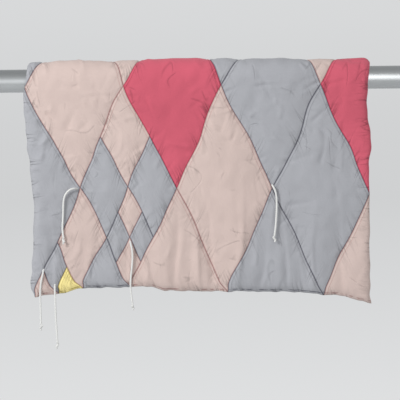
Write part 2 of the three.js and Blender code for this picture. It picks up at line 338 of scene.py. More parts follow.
def waves(x, y, kind):
    """Soft random surface: a sum of plane waves of random heading, length and phase, over the square root
    of their number, times a height."""
    draw = np.random.default_rng(kind["seed"])
    count = kind["count"]
    headings = draw.uniform(0, math.pi, count)
    lengths = draw.uniform(kind["shortest"], kind["longest"], count)
    total = np.zeros(np.broadcast(x, y).shape)
    for heading, length, phase in zip(headings, lengths, draw.uniform(0, 2 * math.pi, count)):
        total += np.sin(2 * math.pi * (x * math.cos(heading) + y * math.sin(heading)) / length + phase)
    return kind["height"] * total / math.sqrt(count)


# Creases that the sewing leaves: how far apart they start, scatter of their heading in radians, mean and
# least length, widths, mean and spread of their lift, and spread of their bend
SEAM_PUCKER = {"spacing": 11.0, "scatter": 0.45, "length": 20.0, "least": 8.0, "widths": (2.2, 4.4),
               "lift": (-0.35, 1.0), "bend": 0.12}
HEM_PUCKER = {"spacing": 9.0, "scatter": 0.3, "length": 27.0, "least": 10.0, "widths": (2.2, 3.8),
              "lift": (-0.7, 0.9), "bend": 0.1}
# Longer wrinkles of the hanging cloth, first anywhere on it and then slanted ones below the turn
DRAG = {"count": 200, "lengths": (35.0, 150.0), "widths": (3.0, 9.0), "lift": 1.7, "bend": 0.25}
SLANT = {"count": 150, "lengths": (30.0, 85.0), "widths": (3.5, 7.0), "lift": 2.0, "bend": 0.25}
DRAG_ZONES = {"upright_below": 260.0, "slanted_below": 640.0}


def seam_puckers():
    """Short creases that leave each seam inwards on both sides, as rows of the crease columns.

    Along every side of every patch they start at even steps with some scatter, head inwards at a right
    angle with some scatter, and are shorter in a small patch.
    """
    draw = np.random.default_rng(31)
    rows = []
    for patch in PATCHES:
        middle = np.array([patch["across"] * PATCH_ACROSS, patch["along"] * PATCH_ALONG])
        reach = patch["size"] * np.array([PATCH_ACROSS, PATCH_ALONG])
        corners = middle + reach * np.array([[-1, 0], [0, 1], [1, 0], [0, -1]])
        depth = patch["size"] * PATCH_DEPTH
        for a, b in zip(corners, np.roll(corners, -1, axis=0)):
            side = b - a
            count = int(np.linalg.norm(side) / SEAM_PUCKER["spacing"])
            share = (np.arange(count) + draw.uniform(0.0, 1.0, count)) / count
            start = a + share[:, None] * side
            inward = middle - (a + b) / 2
            normal = np.array([-side[1], side[0]])
            normal = normal * np.sign(normal @ inward)
            heading = math.atan2(normal[1], normal[0]) + draw.normal(0.0, SEAM_PUCKER["scatter"], count)
            length = draw.gamma(3.0, SEAM_PUCKER["length"] / 3.0, count) + SEAM_PUCKER["least"]
            length = np.minimum(length, 1.3 * depth)
            width = draw.uniform(*SEAM_PUCKER["widths"], count)
            lift = draw.normal(*SEAM_PUCKER["lift"], count) * np.clip(length / 22.0, 0.5, 1.3)
            bend = draw.normal(0.0, SEAM_PUCKER["bend"], count)
            rows.append(np.column_stack([start, heading, length, width, lift, bend]))
    return np.vstack(rows)


def hem_puckers():
    """Short creases that run inwards from the stitches along the four edges of the quilt."""
    draw = np.random.default_rng(32)
    rows = []
    for start, step, heading in (((0, 0), (QUILT["width"], 0), math.pi / 2),
                                 ((QUILT["width"], 0), (0, QUILT["length"]), math.pi),
                                 ((0, QUILT["length"]), (QUILT["width"], 0), -math.pi / 2),
                                 ((0, 0), (0, QUILT["length"]), 0.0)):
        count = int(max(step) / HEM_PUCKER["spacing"])
        share = (np.arange(count) + draw.uniform(0.0, 1.0, count)) / count
        place = np.array(start) + share[:, None] * np.array(step)
        length = draw.gamma(3.0, HEM_PUCKER["length"] / 3.0, count) + HEM_PUCKER["least"]
        lift = draw.normal(*HEM_PUCKER["lift"], count)
        heading = heading + draw.normal(0.0, HEM_PUCKER["scatter"], count)
        width = draw.uniform(*HEM_PUCKER["widths"], count)
        bend = draw.normal(0.0, HEM_PUCKER["bend"], count)
        rows.append(np.column_stack([place, heading, length, width, lift, bend]))
    return np.vstack(rows)


def drag_lines():
    """Longer soft wrinkles anywhere on the cloth, mostly upright near the front hem, and more of them,
    shorter and slanted, below the turn over the rail."""
    draw = np.random.default_rng(33)
    low, high = DRAG_ZONES["upright_below"], DRAG_ZONES["slanted_below"]
    rows = []
    for kind, start, end in ((DRAG, 0.0, QUILT["length"]), (SLANT, low, high)):
        count = kind["count"]
        place = draw.uniform((0.0, start), (QUILT["width"], end), (count, 2))
        if kind is DRAG:
            upright = draw.uniform(0.0, 1.0, count) < np.where(place[:, 1] < low, 0.75, 0.3)
            near_upright = math.pi / 2 + draw.normal(0.0, 0.22, count)
            heading = np.where(upright, near_upright, draw.uniform(0.0, math.pi, count))
        else:
            heading = -draw.uniform(0.35, 1.25, count)
            heading = heading + np.where(draw.uniform(0.0, 1.0, count) < 0.3, 1.6, 0.0)
        length, width = draw.uniform(*kind["lengths"], count), draw.uniform(*kind["widths"], count)
        lift, bend = draw.normal(0.0, kind["lift"], count), draw.normal(0.0, kind["bend"], count)
        rows.append(np.column_stack([place, heading, length, width, lift, bend]))
    return np.vstack(rows)


def add_creases(x, y, rows):
    """Height in millimetres of many creases at arrays of flat places.

    A crease is a ridge or a valley of Gaussian section, steep on one side, with a softer one of the other
    sign beyond its gentle side. It rises quickly at its start, fades to its end, and its line bends as a
    parabola.
    """
    height = np.zeros(x.shape)
    for from_x, from_y, heading, length, width, lift, bend in rows:
        reach = length + 4 * width
        close = np.flatnonzero((np.abs(x - from_x) < reach) & (np.abs(y - from_y) < reach))
        ahead = np.cos(heading), np.sin(heading)
        run = ((x[close] - from_x) * ahead[0] + (y[close] - from_y) * ahead[1]) / length
        aside = (y[close] - from_y) * ahead[0] - (x[close] - from_x) * ahead[1] - bend * length * run ** 2
        rise = np.clip(run / 0.18 + 0.15, 0.0, 1.0) * np.clip(1.0 - run, 0.0, 1.0) ** 1.3
        steep = np.where(aside < 0, max(2.2, 0.4 * width), width)
        section = np.exp(-(aside / steep) ** 2) - 0.4 * np.exp(-((aside - 2.1 * width) / (1.5 * width)) ** 2)
        height[close] += lift * rise * section
    return height


def upright_folds():
    """Long soft folds that rise from the front hem and fade upwards, from a short table."""
    return np.array([[fold["x"], 4.0, math.pi / 2 + math.radians(fold["lean"]), fold["reach"], fold["width"],
                      fold["lift"], 0.03] for fold in UPRIGHT_FOLDS])


UPRIGHT_FOLDS = table(
    ("x", "lean", "reach", "width", "lift"),
    (52, 4, 190, 11, -4.2), (128, -5, 150, 10, 3.8), (214, 3, 260, 12, -4.5), (262, 8, 170, 8, 3.5),
    (318, -2, 300, 13, -5.1), (372, 2, 240, 11, 5.4), (405, 5, 210, 10, -5.4),
    (458, -4, 280, 13, 5.1), (506, -8, 160, 10, -4.2), (566, 4, 220, 11, -4.8),
    (622, -3, 190, 10, 4.2), (690, 2, 240, 11, -3.8),
)
CREASES = np.vstack([seam_puckers(), hem_puckers(), drag_lines(), upright_folds()])


def fold_lift(folds, x, from_hem):
    """Outward lift of a hanging panel from its upright folds, growing towards the hem."""
    lift = np.zeros(x.shape)
    for fold in folds:
        grow = np.maximum(0.0, 1 - from_hem / fold["reach"])
        lift += fold["lift"] * np.exp(-((x - fold["x"]) / fold["half_width"]) ** 2) * grow ** 1.5
    return lift


def middle_layer(across, along):
    """Place of the middle layer in millimetres and its outward direction, at arrays of lattice places.

    The front panel hangs from the rail's front tangent, a half turn passes over the rail and the back
    panel hangs from the other tangent.
    """
    run = along * PATCH_ALONG
    left = read_table(SIDES, "along", run, "left")
    right = read_table(SIDES, "along", run, "right")
    x = left + (right - left) * across / LATTICE["across"]
    hang = QUILT["front"] + read_table(HEM_DROP, "x", x, "drop")
    turn = np.clip((run - QUILT["front"]) / TURN_RADIUS, 0.0, math.pi)
    out = np.stack([np.zeros_like(x), -np.cos(turn), np.sin(turn)], axis=-1)
    place = np.stack([x, TURN_RADIUS * out[..., 1], TURN_RADIUS * out[..., 2]], axis=-1)
    front = run < QUILT["front"]
    back = run > QUILT["front"] + TURN_LENGTH
    down = run - QUILT["front"] - TURN_LENGTH
    place[..., 1] = np.where(front, -TURN_RADIUS - fold_lift(FRONT_FOLDS, x, run), place[..., 1])
    place[..., 2] = np.where(front, -hang * (1 - run / QUILT["front"]), place[..., 2])
    place[..., 1] = np.where(back, TURN_RADIUS + fold_lift(BACK_FOLDS, x, BACK_LENGTH - down), place[..., 1])
    place[..., 2] = np.where(back, -down, place[..., 2])
    return place, out


def hem_distance(across, along):
    """Distance in millimetres to the nearest edge of the quilt."""
    from_side = np.minimum(across, LATTICE["across"] - across) * PATCH_ACROSS
    from_end = np.minimum(along, LATTICE["along"] - along) * PATCH_ALONG
    return np.maximum(0.0, np.minimum(from_side, from_end))


# Sizes of the padding's edges and grooves: how deep or thick, and over which distance they fade
HEM_STITCHES = 5.0
SIDE_EDGE = {"thicker": 3.5, "quicker": 4.0, "from_end": 90.0}
SEAM_DITCH = {"depth": 1.9, "reach": 3.4}
SEAM_RIDGE = {"height": 0.55, "from_seam": 4.6, "reach": 2.0}
HEM_LIP = {"share": 0.62, "reach": 1.8}
HEM_GROOVE = {"depth": 2.6, "reach": 2.6}
# Broad billows of the outer face, fading towards the seams, and the seams' wander, fading towards the hem
BILLOWS = table(
    ("height", "shortest", "longest", "count", "seed"),
    (1.1, 70, 190, 14, 3), (0.6, 24, 60, 16, 4),
)
BILLOW_REACH = 16.0
WANDER = {"height": 2.6, "shortest": 70, "longest": 240, "count": 10, "seed": 51}
WANDER_REACH = 30.0
# Share of the padding's outer half that is pressed flat on top of the rail, at places along the rail
OVER_RAIL = table(
    ("x", "pressed"),
    (136, 0.24), (300, 0.24), (400, 0.1), (470, -0.08), (560, -0.08), (660, 0.18), (780, 0.24),
    (869, 0.42),
)
# The pressing fades out over this length of run on either side of the rail's top
PRESSED_REACH = 50.0


def padding_thickness(rising, falling, from_hem, from_end):
    """Thickness of the padding: a pillow between its seams that thins to the hem, with a rounded lip.

    The side edges are a little fuller away from the ends. A narrow stitched groove lies along each seam,
    and another one along the stitches of the end hems.
    """
    puff = (1 - np.exp(-rising / PADDING["seam_rise"])) * (1 - np.exp(-falling / PADDING["seam_rise"]))
    ditch = SEAM_DITCH["depth"] * np.exp(-np.minimum(rising, falling) / SEAM_DITCH["reach"])
    patch = PADDING["seam"] + (PADDING["crown"] - PADDING["seam"]) * puff - ditch
    away = np.clip(from_end / SIDE_EDGE["from_end"], 0.0, 1.0)
    edge = PADDING["hem"] + SIDE_EDGE["thicker"] * away
    rise = PADDING["hem_rise"] - SIDE_EDGE["quicker"] * away
    thick = edge + (patch - edge) * (1 - np.exp(-from_hem / rise))
    lip = 1 - HEM_LIP["share"] * np.exp(-(from_hem / HEM_LIP["reach"]) ** 2)
    groove = HEM_GROOVE["depth"] * np.exp(-((from_end - HEM_STITCHES) / HEM_GROOVE["reach"]) ** 2)
    return thick * lip - groove


def surface_relief(x, y, rising, falling, from_hem):
    """Height of the outer face's wrinkles in millimetres: broad billows, creases and seam ridges."""
    billow = sum(waves(x, y, kind) for kind in BILLOWS)
    relief = billow * (1 - np.exp(-np.minimum(rising, falling) / BILLOW_REACH)) + add_creases(x, y, CREASES)
    for distance in (rising, falling):
        offset = (distance - SEAM_RIDGE["from_seam"]) / SEAM_RIDGE["reach"]
        relief += SEAM_RIDGE["height"] * np.exp(-offset ** 2)
    return relief * (1 - np.exp(-(from_hem / HEM_STITCHES) ** 2))


# Ties press the cloth from this point of their line on, and clear it by this much; beyond the two distances
# sideways and in height from a tie's middle the cloth is free
PRESS = {"from": 14, "clear": 0.35, "aside": 40, "height": 90}


def press_under_ties(points):
    """Cloth pressed back where a tie lies on it, so that each tie clears it by a hair."""
    radius = CORD["diameter"] / 2 + PRESS["clear"]
    for path in TIE_PATHS:
        away = np.abs(points - path.mean(axis=0))
        close = (away[:, 2] < PRESS["height"]) & (away[:, 0] < PRESS["aside"])
        near = np.flatnonzero((points[:, 1] < 0) & close)
        free = path[PRESS["from"]:]
        aside = points[near, None, :] - free[None, :, :]
        apart = np.hypot(aside[..., 0], aside[..., 2])
        sink = np.sqrt(np.maximum(radius ** 2 - apart ** 2, 0.0))
        floor = np.where(apart < radius, free[None, :, 1] + sink, -1e3).max(axis=1)
        points[near, 1] = np.maximum(points[near, 1], floor)
    return points


# Small waves of the cloth's edges at the sides and at the ends, fading inwards over their reach
SCALLOP = {"depth": 0.9, "reach": 9, "shortest": 16, "longest": 60, "count": 9}


def edge_scallops(x, y):
    """Shift of the cloth in millimetres, sideways and along: its edges run in small waves a little
    inside the pattern, and away from the hem the seams wander."""
    inward = []
    for run, place, size, seed in ((y, x, QUILT["width"], 41), (x, y, QUILT["length"], 42)):
        wave = waves(run, 0 * run, {**SCALLOP, "height": SCALLOP["depth"], "seed": seed})
        inward.append(np.exp(-np.minimum(place, size - place) / SCALLOP["reach"]) * (SCALLOP["depth"] + wave))
    inside = 1 - np.exp(-(hem_distance(x / PATCH_ACROSS, y / PATCH_ALONG) / WANDER_REACH) ** 2)
    return np.sign(QUILT["width"] / 2 - x) * inward[0] + waves(x, y, WANDER) * inside, inward[1]


def lattice_rows(step_parts):
    """Places across and along of the points of a staggered lattice, and the number of each row's first.

    Rows lie half a column apart and every other row is shifted half a column, so that both families of
    seams run along mesh edges.
    """
    columns = int(LATTICE["across"] * step_parts)
    plain = np.arange(columns + 1)
    shifted = np.concatenate([[0.0], np.arange(columns) + 0.5, [columns]])
    rows = [plain if row % 2 == 0 else shifted
            for row in range(int(round(LATTICE["along"] * 2 * step_parts)) + 1)]
    along = np.concatenate([np.full(len(places), row / (2 * step_parts)) for row, places in enumerate(rows)])
    return np.concatenate(rows) / step_parts, along, np.cumsum([0] + [len(places) for places in rows])


def quilt_face(step_parts, outer):
    """Points of one face on a staggered lattice of the given fineness, with their lattice places."""
    across, along, starts = lattice_rows(step_parts)
    x, y = across * PATCH_ACROSS, along * PATCH_ALONG
    _, rising, falling = patch_place(across, along)
    from_hem = hem_distance(across, along)
    place, out = middle_layer(across, along)
    shift_x, shift_z = edge_scallops(x, y)
    place[:, 0] += shift_x
    place[:, 2] += shift_z
    offset = padding_thickness(rising, falling, from_hem, np.minimum(y, QUILT["length"] - y))
    if outer:
        from_top = y - QUILT["front"] - TURN_LENGTH / 2
        pressed = read_table(OVER_RAIL, "x", place[:, 0], "pressed")
        pressed *= np.exp(-(from_top / PRESSED_REACH) ** 2)
        offset = PADDING["outward"] * offset * (1 - pressed)
        offset += surface_relief(x, y, rising, falling, from_hem)
        points = press_under_ties(place + offset[:, None] * out)
    else:
        points = place + ((PADDING["outward"] - 1) * offset)[:, None] * out
    return {"points": points, "across": across, "along": along, "starts": starts}


def face_triangles(face):
    """Triangles of a staggered face: each row pair is zipped, two triangles for each half diamond."""
    triangles = []
    many = np.arange(face["starts"][1])
    few = many[:-1]
    for row, (low, high) in enumerate(zip(face["starts"][:-2], face["starts"][1:-1])):
        if row % 2 == 0:
            pairs = (low + few, low + few + 1, high + few + 1), (low + many, high + many + 1, high + many)
        else:
            pairs = (low + many, low + many + 1, high + many), (low + few + 1, high + few + 1, high + few)
        triangles += [np.stack(corners, axis=1) for corners in pairs]
    return np.concatenate(triangles)


def outline(face):
    """Vertex numbers round a face: front hem, right side, back hem, left side."""
    starts, ends = face["starts"][:-1], face["starts"][1:] - 1
    front = np.arange(starts[0], ends[0] + 1)
    back = np.arange(starts[-1], ends[-1] + 1)[::-1]
    return [front, ends, back, starts[::-1]]


def rim_triangles(fine, plain, first):
    """Triangles of the hem: two edges of the outer face's outline meet one of the under face's.

    The under face's own vertex numbers start at first.
    """
    rim = []
    for outer_line, inner_line in zip(outline(fine), outline(plain)):
        before, middle, after = outer_line[0:-2:2], outer_line[1:-1:2], outer_line[2::2]
        under, ahead = inner_line[:-1] + first, inner_line[1:] + first
        rim += [np.stack(corners, 1) for corners in
                ((before, under, middle), (middle, under, ahead), (middle, ahead, after))]
    return np.concatenate(rim)


def store_seams(mesh, corner, across, along, number, is_under):
    """Attributes of the cloth's corners for its material: distances in metres to the two seams of a
    family, and the length of run beside them. Under the quilt the seams are put a metre away."""
    patch = np.repeat(number, 3)
    size, column, row = (np.array([entry[key] for entry in PATCHES])[patch]
                         for key in ("size", "across", "along"))
    total, split = along[corner] + across[corner], along[corner] - across[corner]
    hidden = np.where(np.repeat(is_under, 3), 1.0, 0.0)
    reach = PATCH_DEPTH * MM
    for label, inside, run in (("rise_seam", total - row - column, split),
                               ("fall_seam", split - row + column, total)):
        layer = mesh.attributes.new(label, "FLOAT_VECTOR", "CORNER")
        values = np.stack([(size - inside) * reach + hidden, (size + inside) * reach + hidden,
                           run * PATCH_SIDE / 2 * MM], axis=1)
        layer.data.foreach_set("vector", values.astype(np.float32).ravel())
    flat = np.stack([across * PATCH_ACROSS, along * PATCH_ALONG], axis=1) * MM
    mesh.uv_layers.new(name="cloth").data.foreach_set("uv", flat[corner].astype(np.float32).ravel())


FACE_PARTS = {"outer": 32, "under": 16}


def quilt_piece():
    """The quilt: a fine outer face, a plainer under face with half its places along each edge, and the
    hem that joins them."""
    fine = quilt_face(FACE_PARTS["outer"], True)
    plain = quilt_face(FACE_PARTS["under"], False)
    count = len(fine["points"])
    top = face_triangles(fine)
    under = face_triangles(plain)[:, ::-1] + count
    triangles = np.concatenate([top, under, rim_triangles(fine, plain, count)])
    across = np.concatenate([fine["across"], plain["across"]])
    along = np.concatenate([fine["along"], plain["along"]])
    piece = mesh_object("padded_quilt", np.concatenate([fine["points"], plain["points"]]) * MM, triangles)

    number, _, _ = patch_place(across[triangles].mean(axis=1), along[triangles].mean(axis=1))
    is_under = np.zeros(len(triangles), dtype=bool)
    is_under[len(top):len(top) + len(under)] = True
    cloth = np.array([CLOTHS.index(patch["cloth"]) for patch in PATCHES])[number]
    cloth[is_under] = len(CLOTHS)
    piece.data.polygons.foreach_set("material_index", cloth.astype(np.int32))
    store_seams(piece.data, triangles.ravel(), across, along, number, is_under)
    return piece


def new_material(name):
    """Material with an empty tree, its output and its Principled shader."""
    material = bpy.data.materials.new(name)
    material.use_nodes = True
    tree = material.node_tree
    tree.nodes.clear()
    output = tree.nodes.new("ShaderNodeOutputMaterial")
    shader = tree.nodes.new("ShaderNodeBsdfPrincipled")
    tree.links.new(shader.outputs["BSDF"], output.inputs["Surface"])
    return material, tree, shader


def put(tree, kind, **settings):
    """New node with its settings; a key that names an input sets that input's value."""
    node = tree.nodes.new(kind)
    for key, value in settings.items():
        if key in node.inputs:
            node.inputs[key].default_value = value
        else:
            setattr(node, key, value)
    return node


def math_node(tree, operation, first, second=None, third=None):
    """Math node over sockets or numbers, returning its output."""
    node = tree.nodes.new("ShaderNodeMath")
    node.operation = operation
    for socket, value in zip(node.inputs, (first, second, third)):
        if isinstance(value, (int, float)):
            socket.default_value = value
        elif value is not None:
            tree.links.new(value, socket)
    return node.outputs["Value"]


def times(tree, first, second):
    """Product of two sockets or numbers."""
    return math_node(tree, "MULTIPLY", first, second)


def times_plus(tree, first, second, third):
    """Product of two sockets or numbers, plus a third one."""
    return math_node(tree, "MULTIPLY_ADD", first, second, third)


def mixed(tree, factor, first, second, blend="MIX"):
    """Colour between two, where each of the three is a value or a socket."""
    mix = put(tree, "ShaderNodeMix", data_type="RGBA", blend_type=blend)
    for name, value in (("Factor", factor), ("A", first), ("B", second)):
        if isinstance(value, bpy.types.NodeSocket):
            tree.links.new(value, mix.inputs[name])
        else:
            mix.inputs[name].default_value = value
    return mix.outputs["Result"]


def bumped(tree, shader, height, strength, distance):
    """Puts a height on a shader as bump."""
    bump = put(tree, "ShaderNodeBump", Strength=strength, Distance=distance)
    tree.links.new(height, bump.inputs["Height"])
    tree.links.new(bump.outputs["Normal"], shader.inputs["Normal"])


def set_shader(shader, values):
    """Sets what is the same all over a surface on the shader's own sockets."""
    for name, value in values.items():
        shader.inputs[name].default_value = value


def linear(red, green, blue):
    """Scene colour of an 8 bit colour."""
    return tuple((v / 255 / 12.92) if v / 255 <= 0.04045 else ((v / 255 + 0.055) / 1.055) ** 2.4
                 for v in (red, green, blue)) + (1.0,)


def near_line(tree, distance, place, width):
    """Mask that is 1 at a distance from a line and fades as a Gaussian of the given width."""
    offset = times_plus(tree, distance, 1 / width, -place / width)
    return math_node(tree, "EXPONENT", times(tree, math_node(tree, "POWER", offset, 2.0), -1.0))


def noise_value(tree, vector, stretch=None, **settings):
    """Value of a noise texture over a vector, stretched by a scale a direction if asked."""
    if stretch is not None:
        mapping = put(tree, "ShaderNodeMapping", Scale=stretch)
        tree.links.new(vector, mapping.inputs["Vector"])
        vector = mapping.outputs["Vector"]
    noise = put(tree, "ShaderNodeTexNoise", **settings)
    tree.links.new(vector, noise.inputs["Vector"])
    return noise.outputs["Fac"]


def patchy(tree, value, low, high):
    """Mask that rises smoothly from 0 to 1 as a value goes from low to high."""
    ramp = put(tree, "ShaderNodeMapRange", interpolation_type="SMOOTHSTEP")
    ramp.inputs["From Min"].default_value = low
    ramp.inputs["From Max"].default_value = high
    tree.links.new(value, ramp.inputs["Value"])
    return ramp.outputs["Result"]


def fine_crease(tree, value, width):
    """Crease along the line where a noise is a half: a narrow valley with a wider ridge beside it."""
    valley = near_line(tree, value, 0.5, width)
    ridge = near_line(tree, value, 0.5 + 2.6 * width, 2.2 * width)
    return times_plus(tree, ridge, 0.45, times(tree, valley, -1.0))


def fading(tree, distance, reach):
    """Exponential of minus a distance over a reach, both in metres."""
    return math_node(tree, "EXPONENT", times(tree, distance, -1.0 / reach))


def edge_puckers(tree, run, away, from_edge, seed):
    """Short creases that leave a line at right angles: run is metres along it, away metres from it.

    A noise that changes fast along the line and slowly away from it gives the creases, and another one
    leaves gaps between groups of them. They fade with the distance from_edge.
    """
    place = put(tree, "ShaderNodeCombineXYZ", Z=seed)
    tree.links.new(run, place.inputs["X"])
    tree.links.new(away, place.inputs["Y"])
    place = place.outputs["Vector"]
    value = noise_value(tree, place, stretch=(95.0, 16.0, 1.0), Scale=1.0, Detail=1.0, Roughness=0.5,
                        Distortion=0.5)
    groups = noise_value(tree, place, stretch=(40.0, 12.0, 1.0), Scale=1.0, Detail=0.0)
    lines = times(tree, fine_crease(tree, value, 0.05), patchy(tree, groups, 0.50, 0.62))
    return times(tree, lines, fading(tree, from_edge, PUCKER_REACH))


# Sizes of the fine work on the cloth, in metres: the stitches beside a seam, and how far puckers reach
STITCH = {"from_seam": 0.0062, "width": 0.0007, "pitch": 0.0034, "shown_above": -0.5}
PUCKER_REACH = 0.014
# Painted shade along the end hems: an uneven dark line in the groove just beyond the hem stitches, with its
# width, wander and strength
HEM_SHADE_LINE = {"from_stitches": 0.0015, "width": 0.0012, "wander": 0.003, "strength": 0.9}
# Painted light beside a seam: painted shade in a darker band that fades over its reach, and a painted
# highlight in a pale line at its place
PAINTED_SEAM_SHADE = {"reach": 0.0045, "shade": -0.05}
PAINTED_SEAM_HIGHLIGHT = {"from_seam": 0.0036, "width": 0.0010, "shade": 0.06}
# Two kinds of thin creases: how fast their noise changes each way, their width, and where they show
THIN_CREASES = table(
    ("stretch", "width", "hidden_below", "full_above"),
    ((9.0, 15.0, 1.0), 0.012, 0.55, 0.62),
    ((31.0, 7.0, 1.0), 0.025, 0.60, 0.68),
)


def thin_creases(tree, flat):
    """Thin curved creases here and there: lines where a noise is a half, shown by patches of another."""
    total = None
    for kind in THIN_CREASES:
        value = noise_value(tree, flat, stretch=kind["stretch"], Scale=1.0, Detail=0.0, Distortion=0.35)
        area = noise_value(tree, flat, stretch=(26.0, 15.0, 1.0), Scale=0.9, Detail=1.0)
        lines = times(tree, fine_crease(tree, value, kind["width"]),
                      patchy(tree, area, kind["hidden_below"], kind["full_above"]))
        total = lines if total is None else math_node(tree, "ADD", total, lines)
    return total


def seam_work(tree):
    """Distance to the nearest seam, mask of the dashed stitches and height of the puckers beside seams."""
    distances, stitches, puckers = [], [], []
    for name, seed in (("rise_seam", 3.0), ("fall_seam", 5.5)):
        attribute = put(tree, "ShaderNodeAttribute", attribute_name=name)
        parts = put(tree, "ShaderNodeSeparateXYZ")
        tree.links.new(attribute.outputs["Vector"], parts.inputs["Vector"])
        near, far, run = parts.outputs
        closer = math_node(tree, "MINIMUM", near, far)
        distances.append(closer)
        puckers.append(edge_puckers(tree, run, near, closer, seed))
        dash = math_node(tree, "SINE", times(tree, run, 2 * math.pi / STITCH["pitch"]))
        dash = math_node(tree, "GREATER_THAN", dash, STITCH["shown_above"])
        stitches.append(times(tree, near_line(tree, near, STITCH["from_seam"], STITCH["width"]), dash))
    return (math_node(tree, "MINIMUM", *distances), math_node(tree, "MAXIMUM", *stitches),
            math_node(tree, "ADD", *puckers))


def cloth_group():
    """Fine plain weave, slubs, fine creases, puckers, seam lines painted as shade, a painted highlight beside
    them and stitches of the pieced cotton.

    Height is the product of two thread waves at right angles, plus noise for slubs and crumples, thin
    curved creases here and there, and puckers that fade away from each seam and from the hem, less a dip
    at each stitch. Shade is a slow mottle about 1, with painted shade in the creases and in a band beside
    a seam, and a painted highlight in a pale line beside it. Seam is a mask of painted shade: the dark
    seam lines in the seam valleys and the uneven line in the groove drawn in along the hem. Stitch is a
    mask of the dashed stitches beside a seam.
    """
    group = bpy.data.node_groups.new("pieced_cotton", "ShaderNodeTree")
    for name, start in (("Thread", 0.9), ("Crease", 1.0), ("Mottle", 0.1), ("Seam Width", 0.0009)):
        socket = group.interface.new_socket(name, in_out="INPUT", socket_type="NodeSocketFloat")
        socket.default_value = start
    for name in ("Height", "Shade", "Seam", "Stitch"):
        group.interface.new_socket(name, in_out="OUTPUT", socket_type="NodeSocketFloat")
    entry = group.nodes.new("NodeGroupInput")
    leave = group.nodes.new("NodeGroupOutput")
    flat = put(group, "ShaderNodeUVMap", uv_map="cloth").outputs["UV"]
    split = put(group, "ShaderNodeSeparateXYZ")
    group.links.new(flat, split.inputs["Vector"])
    across, along = split.outputs["X"], split.outputs["Y"]
    pitch = math_node(group, "DIVIDE", 1000.0 * math.pi, entry.outputs["Thread"])
    threads = [math_node(group, "ABSOLUTE", math_node(group, "SINE", times(group, axis, pitch)))
               for axis in (across, along)]
    slub = noise_value(group, flat, Scale=900.0, Detail=2.0, Roughness=0.6)
    crumple = noise_value(group, flat, Scale=70.0, Detail=3.0, Roughness=0.55, Distortion=0.8)
    slow = noise_value(group, flat, Scale=9.0, Detail=3.0, Roughness=0.5, Distortion=0.3)

    nearest, stitch, pucker = seam_work(group)
    hems = []
    for run, edge, length, seed in ((across, along, QUILT["length"], 9.0),
                                    (along, across, QUILT["width"], 14.0)):
        hems.append(math_node(group, "MINIMUM", edge, math_node(group, "SUBTRACT", length * MM, edge)))
        pucker = times_plus(group, edge_puckers(group, run, edge, hems[-1], seed), 1.3, pucker)
    # Painted shade in the groove along the end hems: an uneven dark line, broken into lengths
    uneven = noise_value(group, flat, Scale=60.0, Detail=2.0)
    hem_shade_line = near_line(group, times_plus(group, uneven, HEM_SHADE_LINE["wander"], hems[0]),
                         HEM_STITCHES * MM + HEM_SHADE_LINE["from_stitches"], HEM_SHADE_LINE["width"])
    hem_shade_line = times(group, hem_shade_line, patchy(group, uneven, 0.40, 0.58))

    drawn = times_plus(group, pucker, 2.1, thin_creases(group, flat))
    drawn = times(group, drawn, entry.outputs["Crease"])
    height = times_plus(group, times(group, *threads), 0.06, times(group, slub, 0.08))
    for part, share in ((crumple, 0.5), (drawn, 0.45), (stitch, -0.35)):
        height = times_plus(group, part, share, height)

    # Painted shade: a dark line in each seam valley, joined by the uneven dark line in the groove along the
    # end hems
    offset = math_node(group, "DIVIDE", nearest, entry.outputs["Seam Width"])
    seam = math_node(group, "EXPONENT", times(group, math_node(group, "POWER", offset, 2.0), -1.0))
    seam = math_node(group, "MAXIMUM", seam, times(group, hem_shade_line, HEM_SHADE_LINE["strength"]))
    mottle = math_node(group, "SUBTRACT", slow, 0.5)
    shade = times_plus(group, mottle, entry.outputs["Mottle"], 1.0)
    # Painted shade in the crease valleys and in a band beside each seam, and a painted highlight in a pale
    # line beside it
    for part, share in ((math_node(group, "MINIMUM", drawn, 0.0), 0.15),
                        (fading(group, nearest, PAINTED_SEAM_SHADE["reach"]), PAINTED_SEAM_SHADE["shade"]),
                        (near_line(group, nearest, PAINTED_SEAM_HIGHLIGHT["from_seam"], PAINTED_SEAM_HIGHLIGHT["width"]),
                         PAINTED_SEAM_HIGHLIGHT["shade"])):
        shade = times_plus(group, part, share, shade)
    for name, value in (("Height", height), ("Shade", shade), ("Seam", seam), ("Stitch", stitch)):
        group.links.new(value, leave.inputs[name])
    return group


def cotton(finish, group):
    """Matt cotton cloth: mottled colour with painted shade and highlight, a darker colour painted as shade in
    its seam lines, with weave and creases as bump.
    """
    material, tree, shader = new_material(finish["name"])
    cloth = tree.nodes.new("ShaderNodeGroup")
    cloth.node_tree = group
    for name, value in (("Thread", 0.9), ("Crease", finish["crease"]), ("Mottle", finish["mottle"]),
                        ("Seam Width", 0.0013)):
        cloth.inputs[name].default_value = value
    colour, seam, thread = (linear(*finish[part]) for part in ("cloth", "seam", "thread"))
    # The cloth's colour times its Shade output: random mottle, with painted shade and a painted highlight
    mottled_shaded_colour = mixed(tree, 1.0, colour, cloth.outputs["Shade"], "MULTIPLY")
    sewn = mixed(tree, times(tree, cloth.outputs["Stitch"], 0.9), mottled_shaded_colour, thread)
    # The seam colour is painted shade in the seam valleys and in the groove along the end hems
    tree.links.new(mixed(tree, cloth.outputs["Seam"], sewn, seam), shader.inputs["Base Color"])
    bumped(tree, shader, cloth.outputs["Height"], 0.9, 0.0012)
    set_shader(shader, {"Roughness": 0.9, "Sheen Weight": 0.12, "Sheen Roughness": 0.5,
                        "Specular IOR Level": 0.2})
    return material


